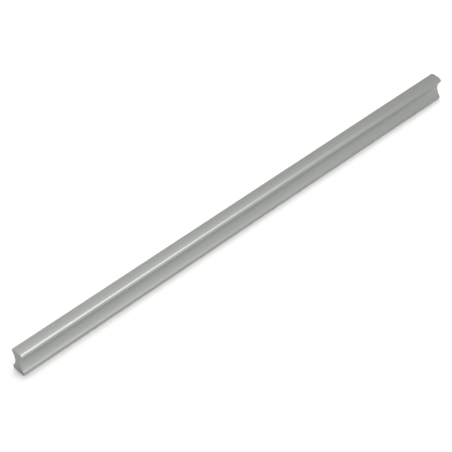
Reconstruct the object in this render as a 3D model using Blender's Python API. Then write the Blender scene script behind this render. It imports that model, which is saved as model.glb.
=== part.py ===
# A slim bar handle for a furniture front: one straight aluminium profile with a finger
# groove along each side, sawn square at both ends and tapped from below for two screws.
# X runs along the bar, Z points away from the furniture, and the foot lies on z = 0.
# All lengths are in metres.
import math

import bmesh
import bpy

# Length: two screws on a 480 mm spacing, with the same overhang past each of them
screw_spacing = 0.480
end_overhang = 0.020
handle_length = screw_spacing + 2 * end_overhang

# Cross-section, symmetric about the upright plane through the screws
handle_height = 0.0250
top_width = 0.0134
foot_width = 0.0146
waist_width = 0.0068
crown_radius = 0.0200
top_lip_radius = 0.0026
foot_lip_radius = 0.0030
# How far the flat underside stops short of the foot's widest line, on each side
foot_undercut = 0.00105
# The chamfer left by deburring the two sawn ends
end_edge_break = 0.0003

# Blind hole for an M4 machine screw: tapping drill, drill point and a small countersink
screw_core_diameter = 0.0033
screw_hole_depth = 0.0100
screw_mouth_diameter = 0.0044
drill_point_angle = math.radians(118)

# How finely the round shapes are divided, and how far a cutter reaches past the face it cuts
arc_step = math.radians(5)
hole_sides = 32
sharp_angle = math.radians(30)
end_edge_angle = math.radians(60)
cutter_overrun = 0.0010
weld_distance = 0.000001

satin_aluminium_colour = (0.36, 0.38, 0.35, 1.0)
satin_aluminium_roughness = 0.40


def clear_scene():
    for old in list(bpy.data.objects):
        bpy.data.objects.remove(old)


def add_object(name, shape):
    """Turns a finished bmesh into an object of the scene, with its faces pointing out."""
    bmesh.ops.recalc_face_normals(shape, faces=shape.faces)
    mesh = bpy.data.meshes.new(name)
    shape.to_mesh(mesh)
    shape.free()
    made = bpy.data.objects.new(name, mesh)
    bpy.context.scene.collection.objects.link(made)
    return made


def arc(centre, radius, start, end):
    """Points on an arc from one angle to the other, both ends included."""
    steps = max(1, math.ceil(abs(end - start) / arc_step))
    angles = [start + (end - start) * step / steps for step in range(steps + 1)]
    return [(centre[0] + radius * math.cos(a), centre[1] + radius * math.sin(a)) for a in angles]


def direction(start, end):
    """The angle of the line from one point of the section to another."""
    return math.atan2(end[1] - start[1], end[0] - start[0])


def section_outline():
    """The section as (across, up) points: foot lip, groove and top lip of one side, the
    crown, then the other side as its mirror image. Each arc runs into the next one."""
    # The foot lip is an arc that the flat underside cuts off
    foot_lip_height = math.sqrt(foot_undercut * (2 * foot_lip_radius - foot_undercut))
    foot_lip_centre = (foot_width / 2 - foot_lip_radius, foot_lip_height)
    foot_corner_angle = -math.asin(foot_lip_height / foot_lip_radius)

    # The top lip touches the crown from inside
    crown_centre = (0, handle_height - crown_radius)
    top_lip_across = top_width / 2 - top_lip_radius
    top_lip_rise = math.sqrt((crown_radius - top_lip_radius) ** 2 - top_lip_across**2)
    top_lip_centre = (top_lip_across, crown_centre[1] + top_lip_rise)
    crown_angle = math.atan2(top_lip_rise, top_lip_across)

    # The groove is one arc that touches both lips from outside. A lip that stands out by
    # depth d with radius r touches a groove of radius R where its height above or below
    # the waist is the root of d * (2R + 2r - d). The two lips together give the waist's
    # height as the root of a quadratic.
    top_depth = (top_width - waist_width) / 2
    foot_depth = (foot_width - waist_width) / 2
    lip_spacing = top_lip_centre[1] - foot_lip_centre[1]
    depth_term = top_depth * (foot_depth - top_depth + 2 * (top_lip_radius - foot_lip_radius))
    constant_term = lip_spacing**2 - depth_term
    square_term = 1 - top_depth / foot_depth
    waist_rise = constant_term / (lip_spacing + math.sqrt(lip_spacing**2 - square_term * constant_term))
    groove_radius = (waist_rise**2 / foot_depth + foot_depth) / 2 - foot_lip_radius
    groove_centre = (waist_width / 2 + groove_radius, foot_lip_centre[1] + waist_rise)

    # Where the groove touches each lip, as the direction from the lip to the groove's centre
    foot_touch_angle = direction(foot_lip_centre, groove_centre)
    top_touch_angle = direction(top_lip_centre, groove_centre)

    foot_lip = arc(foot_lip_centre, foot_lip_radius, foot_corner_angle, foot_touch_angle)
    groove = arc(groove_centre, groove_radius, math.pi + foot_touch_angle, math.pi + top_touch_angle)
    top_lip = arc(top_lip_centre, top_lip_radius, top_touch_angle, crown_angle)
    crown = arc(crown_centre, crown_radius, crown_angle, math.pi - crown_angle)

    side = foot_lip + groove[1:] + top_lip[1:]
    other_side = [(-across, up) for across, up in reversed(side)]
    return side + crown[1:-1] + other_side


def bar():
    """The extruded length of profile, with both sawn ends deburred."""
    shape = bmesh.new()
    corners = [shape.verts.new((-handle_length / 2, across, up)) for across, up in section_outline()]
    near_end = shape.faces.new(corners)
    extruded = bmesh.ops.extrude_face_region(shape, geom=[near_end])
    far_corners = [item for item in extruded["geom"] if isinstance(item, bmesh.types.BMVert)]
    bmesh.ops.translate(shape, verts=far_corners, vec=(handle_length, 0, 0))
    made = add_object("handle_bar", shape)
    made.data.shade_smooth()
    made.data.set_sharp_from_angle(angle=sharp_angle)

    deburr = made.modifiers.new("deburred ends", "BEVEL")
    deburr.width = end_edge_break
    deburr.segments = 1
    deburr.limit_method = "ANGLE"
    deburr.angle_limit = end_edge_angle
    return made


def screw_hole_cutter(name, along):
    """A turned cutter for one tapped hole: countersink, core and drill point, from below."""
    core_radius = screw_core_diameter / 2
    mouth_radius = screw_mouth_diameter / 2
    point_height = core_radius / math.tan(drill_point_angle / 2)
    profile = [
        (0, -cutter_overrun),
        (mouth_radius + cutter_overrun, -cutter_overrun),
        (core_radius, mouth_radius - core_radius),
        (core_radius, screw_hole_depth),
        (0, screw_hole_depth + point_height),
    ]
    shape = bmesh.new()
    points = [shape.verts.new((radius, 0, up)) for radius, up in profile]
    edges = [shape.edges.new(pair) for pair in zip(points, points[1:])]
    bmesh.ops.spin(
        shape,
        geom=points + edges,
        cent=(0, 0, 0),
        axis=(0, 0, 1),
        angle=2 * math.pi,
        steps=hole_sides,
        use_merge=True,
    )
    bmesh.ops.remove_doubles(shape, verts=shape.verts, dist=weld_distance)
    cutter = add_object(name, shape)
    cutter.location.x = along
    cutter.hide_render = True
    cutter.display_type = "WIRE"
    return cutter


def drill(body, cutter):
    cut = body.modifiers.new(cutter.name, "BOOLEAN")
    cut.operation = "DIFFERENCE"
    cut.solver = "EXACT"
    cut.object = cutter


def satin_aluminium():
    finish = bpy.data.materials.new("satin_aluminium")
    finish.use_nodes = True
    shader = finish.node_tree.nodes["Principled BSDF"]
    shader.inputs["Base Color"].default_value = satin_aluminium_colour
    shader.inputs["Metallic"].default_value = 1.0
    shader.inputs["Roughness"].default_value = satin_aluminium_roughness
    return finish


clear_scene()
handle = bar()
handle.data.materials.append(satin_aluminium())
for side_name, along in (("near", -screw_spacing / 2), ("far", screw_spacing / 2)):
    drill(handle, screw_hole_cutter(side_name + "_screw_hole", along))
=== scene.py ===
import math

import bpy
from mathutils import Matrix, Vector


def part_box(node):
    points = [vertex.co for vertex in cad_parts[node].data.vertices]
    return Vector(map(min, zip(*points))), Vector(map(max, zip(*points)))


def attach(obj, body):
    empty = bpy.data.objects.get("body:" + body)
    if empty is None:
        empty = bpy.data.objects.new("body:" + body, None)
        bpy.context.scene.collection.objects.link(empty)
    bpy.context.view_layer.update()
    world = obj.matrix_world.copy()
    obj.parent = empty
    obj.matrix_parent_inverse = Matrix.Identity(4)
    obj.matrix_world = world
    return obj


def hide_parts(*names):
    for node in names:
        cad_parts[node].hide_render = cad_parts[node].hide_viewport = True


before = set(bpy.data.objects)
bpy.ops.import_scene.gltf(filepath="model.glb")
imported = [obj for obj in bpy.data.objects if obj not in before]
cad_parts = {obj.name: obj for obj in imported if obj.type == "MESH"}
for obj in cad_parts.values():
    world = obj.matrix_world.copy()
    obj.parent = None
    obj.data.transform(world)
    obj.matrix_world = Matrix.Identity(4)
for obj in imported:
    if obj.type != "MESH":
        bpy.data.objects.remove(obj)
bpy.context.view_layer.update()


# The bar: one straight length of extruded aluminium. The die gives it the finger groove
# along each side, the crowned grip and the flat foot; a saw cuts it square at both ends
# and the sawn edges are broken with a file.
bar_low, bar_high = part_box("handle_bar")
bar_length = bar_high.x - bar_low.x
bar_height = bar_high.z - bar_low.z
foot_width = bar_high.y - bar_low.y

MILLIMETRE = 0.001
top_width = 13.4 * MILLIMETRE
waist_width = 6.8 * MILLIMETRE
crown_radius = 20 * MILLIMETRE
top_lip_radius = 2.6 * MILLIMETRE
foot_lip_radius = 3.0 * MILLIMETRE
foot_undercut = 1.05 * MILLIMETRE
outline_step = math.radians(2)
ring_spacing = 26 * MILLIMETRE
end_edge_radius = 0.3 * MILLIMETRE
end_edge_segments = 4
end_edge_angle = math.radians(60)
crease_angle = math.radians(30)


def arc(centre, radius, start, end):
    """Points on an arc from one angle to the other, both ends included."""
    steps = max(1, math.ceil(abs(end - start) / outline_step))
    angles = [start + (end - start) * step / steps for step in range(steps + 1)]
    return [centre + radius * Vector((math.cos(a), math.sin(a))) for a in angles]


def direction(start, end):
    """The angle of the line from one point of the section to another."""
    return math.atan2(end.y - start.y, end.x - start.x)


def section_outline():
    """The section as (across, up) points, every arc running into the next one."""
    foot_lip_height = math.sqrt(foot_undercut * (2 * foot_lip_radius - foot_undercut))
    foot_lip_centre = Vector((foot_width / 2 - foot_lip_radius, foot_lip_height))
    foot_corner_angle = -math.asin(foot_lip_height / foot_lip_radius)

    # The crown's arc carries on into the lip's from inside
    crown_centre = Vector((0, bar_height - crown_radius))
    top_lip_across = top_width / 2 - top_lip_radius
    top_lip_rise = math.sqrt((crown_radius - top_lip_radius) ** 2 - top_lip_across**2)
    top_lip_centre = crown_centre + Vector((top_lip_across, top_lip_rise))
    crown_angle = direction(crown_centre, top_lip_centre)

    # One arc makes the groove and touches both lips, which gives its radius and its height
    top_depth = (top_width - waist_width) / 2
    foot_depth = (foot_width - waist_width) / 2
    lip_spacing = top_lip_centre.y - foot_lip_centre.y
    depth_term = top_depth * (foot_depth - top_depth + 2 * (top_lip_radius - foot_lip_radius))
    constant_term = lip_spacing**2 - depth_term
    square_term = 1 - top_depth / foot_depth
    square_root = math.sqrt(lip_spacing**2 - square_term * constant_term)
    waist_rise = constant_term / (lip_spacing + square_root)
    groove_radius = (waist_rise**2 / foot_depth + foot_depth) / 2 - foot_lip_radius
    groove_centre = Vector((waist_width / 2 + groove_radius, foot_lip_centre.y + waist_rise))
    foot_touch_angle = direction(foot_lip_centre, groove_centre)
    top_touch_angle = direction(top_lip_centre, groove_centre)

    foot_lip = arc(foot_lip_centre, foot_lip_radius, foot_corner_angle, foot_touch_angle)
    groove_start = math.pi + foot_touch_angle
    groove_end = math.pi + top_touch_angle
    groove = arc(groove_centre, groove_radius, groove_start, groove_end)
    top_lip = arc(top_lip_centre, top_lip_radius, top_touch_angle, crown_angle)
    crown = arc(crown_centre, crown_radius, crown_angle, math.pi - crown_angle)
    side = foot_lip + groove[1:] + top_lip[1:]
    other_side = [Vector((-point.x, point.y)) for point in reversed(side)]
    return side + crown[1:-1] + other_side


def new_tree(name, inputs):
    """A Geometry Nodes tree with a geometry in and out, and one named input for each size."""
    tree = bpy.data.node_groups.new(name, "GeometryNodeTree")
    tree.interface.new_socket("Geometry", in_out="INPUT", socket_type="NodeSocketGeometry")
    for input_name, kind in inputs.items():
        tree.interface.new_socket(input_name, in_out="INPUT", socket_type="NodeSocket" + kind)
    tree.interface.new_socket("Geometry", in_out="OUTPUT", socket_type="NodeSocketGeometry")
    return tree


def add_node(tree, kind, settings=None, **inputs):
    """A node with its settings made, and each named input linked to a socket or given a value."""
    node = tree.nodes.new(kind)
    for setting, value in (settings or {}).items():
        setattr(node, setting, value)
    for input_name, source in inputs.items():
        wanted = input_name.replace("_", " ").lower()
        socket = next(s for s in node.inputs if s.enabled and s.name.lower() == wanted)
        if isinstance(source, bpy.types.NodeSocket):
            tree.links.new(source, socket)
        else:
            socket.default_value = source
    return node


def calculate(tree, operation, *terms):
    """A Math node on up to three terms, each a socket or a number. Gives its output socket."""
    node = tree.nodes.new("ShaderNodeMath")
    node.operation = operation
    for socket, term in zip(node.inputs, terms):
        if isinstance(term, bpy.types.NodeSocket):
            tree.links.new(term, socket)
        else:
            socket.default_value = term
    return node.outputs[0]


def finish_tree(tree, geometry):
    result = tree.nodes.new("NodeGroupOutput")
    tree.links.new(geometry, result.inputs[0])
    return tree


def add_tree(piece, tree, values):
    """Puts a tree on a piece and sets each named input by its socket's identifier."""
    modifier = piece.modifiers.new(tree.name, "NODES")
    modifier.node_group = tree
    for item in tree.interface.items_tree:
        if item.in_out == "INPUT" and item.name in values:
            modifier[item.identifier] = values[item.name]


def extrusion_tree():
    """Draws the section along a straight line, with both ends closed."""
    tree = new_tree("Extruded profile", {"Length": "Float", "Rings": "Int", "Finish": "Material"})
    given = tree.nodes.new("NodeGroupInput").outputs
    half = calculate(tree, "DIVIDE", given["Length"], 2)
    near_end = add_node(tree, "ShaderNodeCombineXYZ", x=calculate(tree, "MULTIPLY", half, -1))
    far_end = add_node(tree, "ShaderNodeCombineXYZ", x=half)
    line = add_node(
        tree, "GeometryNodeCurvePrimitiveLine", start=near_end.outputs[0], end=far_end.outputs[0]
    )
    path = add_node(tree, "GeometryNodeResampleCurve", curve=line.outputs[0], count=given["Rings"])
    upright = add_node(tree, "GeometryNodeSetCurveNormal", {"mode": "Z_UP"}, curve=path.outputs[0])
    section = add_node(tree, "GeometryNodeMeshToCurve", mesh=given["Geometry"])
    drawn = add_node(
        tree,
        "GeometryNodeCurveToMesh",
        curve=upright.outputs[0],
        profile_curve=section.outputs[0],
        fill_caps=True,
    )
    solid = add_node(tree, "GeometryNodeRealizeInstances", geometry=drawn.outputs[0])
    coated = add_node(
        tree, "GeometryNodeSetMaterial", geometry=solid.outputs[0], material=given["Finish"]
    )
    return finish_tree(tree, coated.outputs[0])


# The finish: bead blasted, then anodised a slightly greenish grey. Under the satin the die
# has left faint straight lines along the whole bar.
anodised_colour = (0.382, 0.393, 0.372, 1)
anodised_roughness = 0.52
colour_spread = 0.12
roughness_spread = 0.12
die_line_length = 180 * MILLIMETRE
die_line_width = 0.35 * MILLIMETRE
die_line_depth = 0.003 * MILLIMETRE
cloud_length = 60 * MILLIMETRE
cloud_width = 6 * MILLIMETRE
cloud_share = 0.25
blast_grain = 0.16 * MILLIMETRE
blast_depth = 0.0012 * MILLIMETRE
pattern_detail = 2


def new_finish(name):
    """A material with its node tree and its Principled shader."""
    material = bpy.data.materials.new(name)
    material.use_nodes = True
    return material, material.node_tree, material.node_tree.nodes["Principled BSDF"]


def noise(tree, sizes, detail=pattern_detail):
    """Noise whose patches measure the given lengths along, across and up the bar."""
    place = add_node(tree, "ShaderNodeTexCoord").outputs["Object"]
    fitted = add_node(tree, "ShaderNodeMapping", vector=place, scale=[1 / size for size in sizes])
    pattern = add_node(tree, "ShaderNodeTexNoise", vector=fitted.outputs[0], scale=1, detail=detail)
    return pattern.outputs[0]


def spread(tree, pattern, middle, amount):
    """Turns a pattern into a value that strays from the middle by the amount either way."""
    scaled = add_node(
        tree, "ShaderNodeMapRange", value=pattern, to_min=middle - amount, to_max=middle + amount
    )
    return scaled.outputs[0]


def between(tree, factor, first, second):
    """A colour that goes from the first to the second as the factor goes from 0 to 1."""
    mix = add_node(tree, "ShaderNodeMix", {"data_type": "RGBA"}, factor=factor)
    colours = [socket for socket in mix.inputs if socket.enabled and socket.type == "RGBA"]
    for socket, colour in zip(colours, (first, second)):
        socket.default_value = colour
    return next(socket for socket in mix.outputs if socket.enabled)


def tinted(tree, pattern, colour, amount):
    """The colour, made a little darker or lighter by a pattern."""
    darker = [channel * (1 - amount) for channel in colour[:3]]
    lighter = [channel * (1 + amount) for channel in colour[:3]]
    return between(tree, pattern, darker + [1], lighter + [1])


def bumped(tree, shader, patterns):
    """Raises the surface by each (pattern, depth) in turn."""
    normal = None
    for pattern, depth in patterns:
        bump = add_node(tree, "ShaderNodeBump", height=pattern, distance=depth)
        if normal is not None:
            tree.links.new(normal, bump.inputs["Normal"])
        normal = bump.outputs[0]
    tree.links.new(normal, shader.inputs["Normal"])


def anodised_finish():
    material, tree, shader = new_finish("satin_anodised_aluminium")
    die_lines = noise(tree, (die_line_length, die_line_width, die_line_width))
    clouds = noise(tree, (cloud_length, cloud_width, cloud_width))
    grain = noise(tree, (blast_grain, blast_grain, blast_grain), detail=0)
    cloud_part = calculate(tree, "MULTIPLY", clouds, cloud_share)
    line_part = calculate(tree, "MULTIPLY", die_lines, 1 - cloud_share)
    shade = calculate(tree, "ADD", cloud_part, line_part)
    tint = tinted(tree, shade, anodised_colour, colour_spread)
    rough = spread(tree, die_lines, anodised_roughness, roughness_spread)
    tree.links.new(tint, shader.inputs["Base Color"])
    tree.links.new(rough, shader.inputs["Roughness"])
    shader.inputs["Metallic"].default_value = 1
    bumped(tree, shader, [(die_lines, die_line_depth), (grain, blast_depth)])
    return material


# The sawn ends: the saw's teeth leave fine arcs across each end, round a point below the bar
# and in front of it, under the anodising. Their colour is painted shade, darker than the sides.
saw_centre_distance = (0, 100 * MILLIMETRE, 75 * MILLIMETRE)
saw_mark_spacing = 0.45 * MILLIMETRE
saw_mark_depth = 0.012 * MILLIMETRE
saw_wander = 6
saw_wander_fineness = 0.25
# Darker than the anodised sides: painted shade for the darker surroundings the end faces mirror
sawn_colour_with_painted_shade = (0.293, 0.302, 0.285, 1)
sawn_colour_spread = 0.08
sawn_roughness = 0.55
sawn_roughness_spread = 0.08
# The angle that the Wave node's pattern turns through in one unit of length
wave_turn = 20


def sawn_finish():
    material, tree, shader = new_finish("sawn_and_anodised_end")
    place = add_node(tree, "ShaderNodeTexCoord").outputs["Object"]
    centred = add_node(tree, "ShaderNodeMapping", vector=place, location=saw_centre_distance)
    arcs = add_node(
        tree,
        "ShaderNodeTexWave",
        {"wave_type": "RINGS", "rings_direction": "X"},
        vector=centred.outputs[0],
        scale=2 * math.pi / wave_turn / saw_mark_spacing,
        distortion=saw_wander,
        detail=pattern_detail,
        detail_scale=saw_wander_fineness,
    )
    marks = arcs.outputs["Fac"]
    tint = tinted(tree, marks, sawn_colour_with_painted_shade, sawn_colour_spread)
    rough = spread(tree, marks, sawn_roughness, sawn_roughness_spread)
    tree.links.new(tint, shader.inputs["Base Color"])
    tree.links.new(rough, shader.inputs["Roughness"])
    shader.inputs["Metallic"].default_value = 1
    bumped(tree, shader, [(marks, saw_mark_depth)])
    return material


# Two blind holes in the foot, drilled, countersunk and tapped M4 after the anodising, so
# their walls are bright bare metal. The screws come through the furniture from behind.
hole_spacing = 480 * MILLIMETRE
drill_depth = 10 * MILLIMETRE
core_radius = 3.3 / 2 * MILLIMETRE
thread_radius = 4.0 / 2 * MILLIMETRE
thread_pitch = 0.7 * MILLIMETRE
thread_length = 8.5 * MILLIMETRE
# Where the thread's slope starts and ends, from 0 at the middle of the crest to 1 at the root's
crest_end = 0.20
root_start = 0.85
mouth_radius = 4.4 / 2 * MILLIMETRE
drill_point_slope = math.tan(math.radians(59))
hole_sides = 48
rows_per_pitch = 12
cutter_overrun = 1.0 * MILLIMETRE
# How fast the cutter's lower end closes below the foot, and how squarely an end faces along X
cutter_end_slope = 20
end_facing = 0.99
weld_distance = 0.0005 * MILLIMETRE
bare_colour = (0.60, 0.61, 0.61, 1)
bare_colour_spread = 0.05
bare_roughness = 0.28
bare_roughness_spread = 0.05
cutting_mark_width = 0.05 * MILLIMETRE
cutting_mark_length = 1.0 * MILLIMETRE


def bare_finish():
    material, tree, shader = new_finish("bright_cut_aluminium")
    marks = noise(tree, (cutting_mark_length, cutting_mark_length, cutting_mark_width))
    tint = tinted(tree, marks, bare_colour, bare_colour_spread)
    rough = spread(tree, marks, bare_roughness, bare_roughness_spread)
    tree.links.new(tint, shader.inputs["Base Color"])
    tree.links.new(rough, shader.inputs["Roughness"])
    shader.inputs["Metallic"].default_value = 1
    return material


def tapped_holes_tree():
    """Cuts two blind threaded holes up into the foot.

    Each cutter is a sheet of unit size, rolled up round Z. Its radius at any height is that
    of the countersink, the thread or the drill point, whichever is cut there.
    """
    tree = new_tree(
        "Tapped holes",
        {
            "Spacing": "Float",
            "Depth": "Float",
            "Core radius": "Float",
            "Thread radius": "Float",
            "Pitch": "Float",
            "Thread length": "Float",
            "Mouth radius": "Float",
            "Point slope": "Float",
            "Overrun": "Float",
            "Sides": "Int",
            "Rows": "Int",
            "Weld distance": "Float",
            "Cut finish": "Material",
            "Sawn finish": "Material",
        },
    )
    given = tree.nodes.new("NodeGroupInput").outputs

    def calc(operation, *terms):
        return calculate(tree, operation, *terms)

    sheet = add_node(
        tree,
        "GeometryNodeMeshGrid",
        size_x=1,
        size_y=1,
        vertices_x=calc("ADD", given["Sides"], 1),
        vertices_y=given["Rows"],
    )
    place = add_node(tree, "GeometryNodeInputPosition")
    spot = add_node(tree, "ShaderNodeSeparateXYZ", vector=place.outputs[0])
    turn = calc("ADD", spot.outputs["X"], 0.5)
    climb = calc("ADD", spot.outputs["Y"], 0.5)
    angle = calc("MULTIPLY", turn, 2 * math.pi)
    point_height = calc("DIVIDE", given["Core radius"], given["Point slope"])
    tip = calc("ADD", given["Depth"], point_height)
    reach = calc("ADD", tip, given["Overrun"])
    height = calc("SUBTRACT", calc("MULTIPLY", climb, reach), given["Overrun"])

    # The thread rises by one pitch in a turn, with a flat crest and a flat root
    phase = calc("FRACT", calc("SUBTRACT", calc("DIVIDE", height, given["Pitch"]), turn))
    flank = calc("MULTIPLY", calc("ABSOLUTE", calc("SUBTRACT", phase, 0.5)), 2)
    ridge = add_node(
        tree, "ShaderNodeMapRange", value=flank, from_min=crest_end, from_max=root_start
    )
    # It runs out over its last turn
    left = calc("DIVIDE", calc("SUBTRACT", given["Thread length"], height), given["Pitch"])
    full = add_node(tree, "ShaderNodeClamp", value=left)
    thread_depth = calc("SUBTRACT", given["Thread radius"], given["Core radius"])
    cut_depth = calc("MULTIPLY", calc("MULTIPLY", thread_depth, ridge.outputs[0]), full.outputs[0])
    thread = calc("ADD", given["Core radius"], cut_depth)

    countersink = calc("SUBTRACT", given["Mouth radius"], height)
    drill_point = calc("MULTIPLY", calc("SUBTRACT", tip, height), given["Point slope"])
    lower_end = calc("MULTIPLY", calc("ADD", height, given["Overrun"]), cutter_end_slope)
    wall = calc("MAXIMUM", thread, countersink)
    radius = calc("MINIMUM", calc("MINIMUM", wall, drill_point), lower_end)
    rolled = add_node(
        tree,
        "ShaderNodeCombineXYZ",
        x=calc("MULTIPLY", radius, calc("COSINE", angle)),
        y=calc("MULTIPLY", radius, calc("SINE", angle)),
        z=height,
    )
    moved = add_node(
        tree, "GeometryNodeSetPosition", geometry=sheet.outputs[0], position=rolled.outputs[0]
    )
    closed = add_node(
        tree,
        "GeometryNodeMergeByDistance",
        geometry=moved.outputs[0],
        distance=given["Weld distance"],
    )
    cutter = add_node(
        tree, "GeometryNodeSetMaterial", geometry=closed.outputs[0], material=given["Cut finish"]
    )

    half = calc("DIVIDE", given["Spacing"], 2)
    first = add_node(tree, "ShaderNodeCombineXYZ", x=calc("MULTIPLY", half, -1))
    step = add_node(tree, "ShaderNodeCombineXYZ", x=given["Spacing"])
    places = add_node(
        tree,
        "GeometryNodeMeshLine",
        count=2,
        start_location=first.outputs[0],
        offset=step.outputs[0],
    )
    copies = add_node(
        tree, "GeometryNodeInstanceOnPoints", points=places.outputs[0], instance=cutter.outputs[0]
    )
    cutters = add_node(tree, "GeometryNodeRealizeInstances", geometry=copies.outputs[0])
    drilled = add_node(
        tree,
        "GeometryNodeMeshBoolean",
        {"operation": "DIFFERENCE", "solver": "EXACT"},
        mesh_1=given["Geometry"],
        mesh_2=cutters.outputs[0],
    )

    facing = add_node(
        tree, "ShaderNodeSeparateXYZ", vector=add_node(tree, "GeometryNodeInputNormal").outputs[0]
    )
    is_end = add_node(
        tree,
        "FunctionNodeCompare",
        {"data_type": "FLOAT", "operation": "GREATER_THAN"},
        a=calc("ABSOLUTE", facing.outputs["X"]),
        b=end_facing,
    )
    whole = add_node(tree, "GeometryNodeRealizeInstances", geometry=drilled.outputs[0])
    dressed = add_node(
        tree,
        "GeometryNodeSetMaterial",
        geometry=whole.outputs[0],
        selection=is_end.outputs[0],
        material=given["Sawn finish"],
    )
    return finish_tree(tree, dressed.outputs[0])


def make_bar():
    # Curve to Mesh lays a section's X along -Y and its Y along -Z on a path that runs to +X
    outline = section_outline()
    section = bpy.data.meshes.new("section")
    edges = [(corner, (corner + 1) % len(outline)) for corner in range(len(outline))]
    section.from_pydata([(-across, -up, 0) for across, up in outline], edges, [])
    blank = bpy.data.objects.new("section", section)
    bpy.context.scene.collection.objects.link(blank)
    profile = {
        "Length": bar_length,
        "Rings": round(bar_length / ring_spacing) + 1,
        "Finish": anodised_finish(),
    }
    add_tree(blank, extrusion_tree(), profile)

    broken_edge = blank.modifiers.new("broken end edges", "BEVEL")
    broken_edge.width = end_edge_radius
    broken_edge.segments = end_edge_segments
    broken_edge.limit_method = "ANGLE"
    broken_edge.angle_limit = end_edge_angle

    reach = drill_depth + core_radius / drill_point_slope + cutter_overrun
    holes = {
        "Spacing": hole_spacing,
        "Depth": drill_depth,
        "Core radius": core_radius,
        "Thread radius": thread_radius,
        "Pitch": thread_pitch,
        "Thread length": thread_length,
        "Mouth radius": mouth_radius,
        "Point slope": drill_point_slope,
        "Overrun": cutter_overrun,
        "Sides": hole_sides,
        "Rows": round(reach / thread_pitch * rows_per_pitch),
        "Weld distance": weld_distance,
        "Cut finish": bare_finish(),
        "Sawn finish": sawn_finish(),
    }
    add_tree(blank, tapped_holes_tree(), holes)

    evaluated = blank.evaluated_get(bpy.context.evaluated_depsgraph_get())
    finished = bpy.data.meshes.new_from_object(evaluated)
    bpy.data.objects.remove(blank)
    finished.name = "handle"
    finished.shade_smooth()
    finished.set_sharp_from_angle(angle=crease_angle)
    bar = bpy.data.objects.new("handle", finished)
    bpy.context.scene.collection.objects.link(bar)
    even = bar.modifiers.new("even shading", "WEIGHTED_NORMAL")
    even.keep_sharp = True
    return bar


bar = make_bar()
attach(bar, "root")
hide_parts("handle_bar")


# The studio: a table top of plain white paper that runs out of the picture on all sides. The
# camera sees it as the white ground, with the bar's shadow on it.
floor_half_size = 3.0
floor_drop = 0.02 * MILLIMETRE
paper_white = 0.85
paper_white_in_picture = 1.15
# How white the metal mirrors the paper, at the bar's near and far end: painted light, a falloff
# along the table that only the metal sees
mirrored_paper_near = 1.11
mirrored_paper_far = 0.97


def is_any(tree, *kinds):
    """1 where the ray is of one of the kinds, such as Camera or Glossy, and otherwise 0."""
    ray = add_node(tree, "ShaderNodeLightPath")
    found = 0
    for kind in kinds:
        found = calculate(tree, "MAXIMUM", found, ray.outputs["Is " + kind + " Ray"])
    return found


def by_ray(tree, lighting, mirrored, seen):
    """One value for the light on things, one for what the metal mirrors and one for the camera."""
    not_seen = add_node(
        tree,
        "ShaderNodeMapRange",
        value=is_any(tree, "Glossy"),
        to_min=lighting,
        to_max=mirrored,
    )
    value = add_node(
        tree,
        "ShaderNodeMapRange",
        value=is_any(tree, "Camera", "Transmission"),
        to_min=not_seen.outputs[0],
        to_max=seen,
    )
    return value.outputs[0]


def along(tree, place, start, end, near, far):
    """A value that runs from near to far between two places along the bar."""
    spot = add_node(tree, "ShaderNodeSeparateXYZ", vector=place)
    value = add_node(
        tree,
        "ShaderNodeMapRange",
        value=spot.outputs["X"],
        from_min=start,
        from_max=end,
        to_min=near,
        to_max=far,
    )
    return value.outputs[0]


def floor_finish():
    """White paper, which the camera and the metal see as the white background."""
    material = bpy.data.materials.new("white_paper")
    material.use_nodes = True
    tree = material.node_tree
    tree.nodes.remove(tree.nodes["Principled BSDF"])
    place = add_node(tree, "ShaderNodeTexCoord").outputs["Object"]
    # Painted light: the paper the metal mirrors is whiter by the bar's near end than by its far end
    mirrored = along(tree, place, bar_low.x, bar_high.x, mirrored_paper_near, mirrored_paper_far)
    white = by_ray(tree, paper_white, mirrored, paper_white_in_picture)
    paper = add_node(tree, "ShaderNodeBsdfDiffuse", color=white)
    tree.links.new(paper.outputs[0], tree.nodes["Material Output"].inputs["Surface"])
    return material


def make_floor():
    mesh = bpy.data.meshes.new("floor")
    signs = [(-1, -1), (1, -1), (1, 1), (-1, 1)]
    corners = [(x * floor_half_size, y * floor_half_size, -floor_drop) for x, y in signs]
    mesh.from_pydata(corners, [], [(0, 1, 2, 3)])
    mesh.materials.append(floor_finish())
    floor = bpy.data.objects.new("floor", mesh)
    bpy.context.scene.collection.objects.link(floor)
    return floor


make_floor()


# The light: a white room, a softbox high overhead that draws the narrow shadow in front, and a
# small one low over the front side that makes the bright line on the lip. The room lights the
# table more from past the far end, and the metal mirrors more white from past the near one.
top_box_place = (0.15, 0.60, 3.0)
top_box_size = (1.0, 0.60)
top_box_power = 21
front_box_place = (-0.03, -0.28, 0.49)
front_box_size = (0.60, 0.36)
front_box_power = 3.1
room_light_near = 0.20
room_light_far = 1.38
mirrored_wall_near = 1.36
mirrored_wall_far = 0.34
wall_white_in_picture = 1
# Directions along the bar: -1 is past its near end, 0 beside it and 1 past its far end. The
# room's light changes from the first to the last, and the mirrored white between its own two.
past_near_end = -1
past_far_end = 1
mirrored_fade_start = 0
mirrored_fade_end = 0.8


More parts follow.
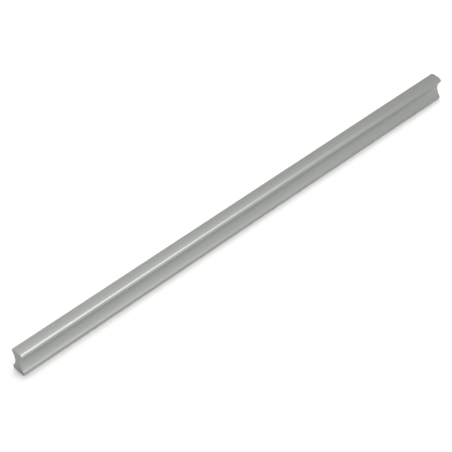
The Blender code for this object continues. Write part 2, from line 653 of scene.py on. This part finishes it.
def add_softbox(name, place, size, power):
    """A level softbox that shines down and doesn't show in the picture itself."""
    light = bpy.data.lights.new(name, "AREA")
    light.shape = "RECTANGLE"
    light.size, light.size_y = size
    light.energy = power
    box = bpy.data.objects.new(name, light)
    box.location = place
    box.visible_camera = False
    bpy.context.scene.collection.objects.link(box)
    return box


top_box = add_softbox("overhead_softbox", top_box_place, top_box_size, top_box_power)
top_box.visible_glossy = False
front_box = add_softbox("front_softbox", front_box_place, front_box_size, front_box_power)
front_box.visible_diffuse = False

room = bpy.data.worlds.new("room")
room.use_nodes = True
bpy.context.scene.world = room
walls = room.node_tree
wall_place = add_node(walls, "ShaderNodeTexCoord").outputs["Generated"]
lighting_wall = along(
    walls,
    wall_place,
    past_near_end,
    past_far_end,
    room_light_near,
    room_light_far,
)
mirrored_wall = along(
    walls,
    wall_place,
    mirrored_fade_start,
    mirrored_fade_end,
    mirrored_wall_near,
    mirrored_wall_far,
)
background = walls.nodes["Background"]
background.inputs["Color"].default_value = (1, 1, 1, 1)
strength = by_ray(walls, lighting_wall, mirrored_wall, wall_white_in_picture)
walls.links.new(strength, background.inputs["Strength"])


# The camera: a long lens about 1.5 m away, high over the bar's near end on its front side. It
# looks at the bar's middle, and the shifts move it sideways and up without turning it.
camera_elevation = math.radians(44.12)
camera_azimuth = math.radians(-43.66)
camera_roll = math.radians(0.046)
camera_distance = 1.5356
camera_shift_right = -0.01615
camera_shift_up = -0.0037
lens = 134.84
sensor = 36.0

camera_back = Vector(
    (
        math.sin(camera_azimuth) * math.cos(camera_elevation),
        -math.cos(camera_azimuth) * math.cos(camera_elevation),
        math.sin(camera_elevation),
    )
)
camera_right = Vector((math.cos(camera_azimuth), math.sin(camera_azimuth), 0))
camera_up = camera_back.cross(camera_right)
camera_turn = Matrix((camera_right, camera_up, camera_back)).transposed()
camera_data = bpy.data.cameras.new("camera")
camera_data.lens = lens
camera_data.sensor_width = sensor
camera = bpy.data.objects.new("camera", camera_data)
offset = camera_right * camera_shift_right + camera_up * camera_shift_up
camera.location = camera_back * camera_distance + offset
camera.rotation_euler = (camera_turn @ Matrix.Rotation(camera_roll, 3, "Z")).to_euler()
bpy.context.scene.collection.objects.link(camera)
bpy.context.scene.camera = camera
bpy.context.scene.view_settings.view_transform = "Standard"
